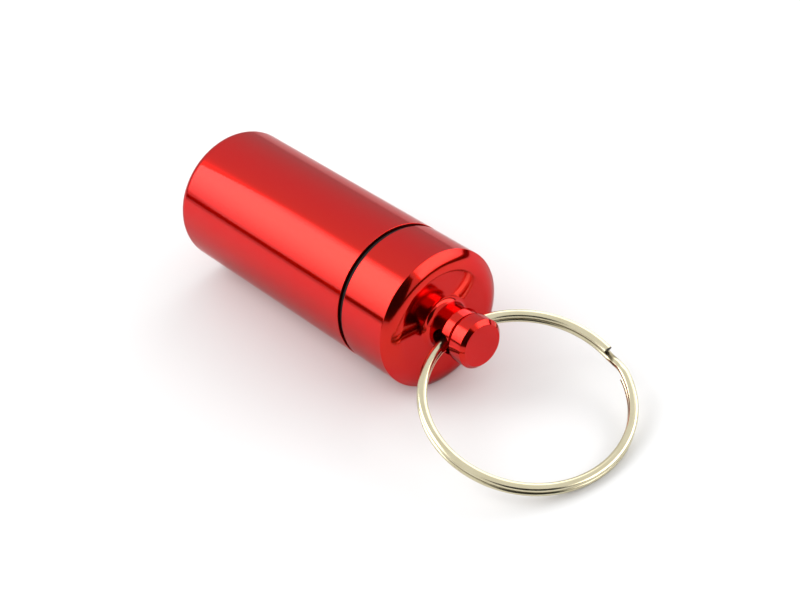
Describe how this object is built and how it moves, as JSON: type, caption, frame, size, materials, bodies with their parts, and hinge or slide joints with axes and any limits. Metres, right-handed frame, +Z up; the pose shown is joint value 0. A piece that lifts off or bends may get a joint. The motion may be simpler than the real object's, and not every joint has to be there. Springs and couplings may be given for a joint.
{
  "type": "pill fob keychain",
  "caption": "Small turned aluminium pill tube with a screw cap, a rubber seal and a split key ring through the cap's drilled post.",
  "frame": {"origin": "on the surface the fob lies on, under the middle of its bounding box", "axes": "+X along the tube towards the cap and the key ring, +Z up"},
  "size_m": [0.065, 0.0242, 0.017],
  "materials": {
    "red_anodised_tube": "bright red anodised",
    "red_anodised_cap": "bright red anodised",
    "black_rubber": "matt moulded rubber",
    "nickel_plate": "bright nickel plated steel wire"
  },
  "bodies": {
    "tube": {"container_tube": "red_anodised_tube"},
    "seal": {"seal_ring": "black_rubber"},
    "cap": {"screw_cap": "red_anodised_cap"},
    "key_ring": {"split_ring": "nickel_plate"}
  },
  "joints": [
    {"name": "cap_lift", "type": "slide", "parent": "tube", "child": "seal", "axis": [1, 0, 0], "range_m": [0, 0.006]},
    {"name": "cap_turn", "type": "hinge", "parent": "seal", "child": "cap", "pos_m": [-0.00023, 0, 0.0085], "axis": [1, 0, 0], "range_deg": [0, 2160]},
    {"name": "ring_swing", "type": "hinge", "parent": "cap", "child": "key_ring", "pos_m": [0.01022, 0, 0.0085], "axis": [0, 1, 0], "range_deg": [-113, 76]}
  ],
  "couplings": [
    {"joint": "cap_lift", "follows": "cap_turn", "m_per_rad": 0.00015915}
  ]
}
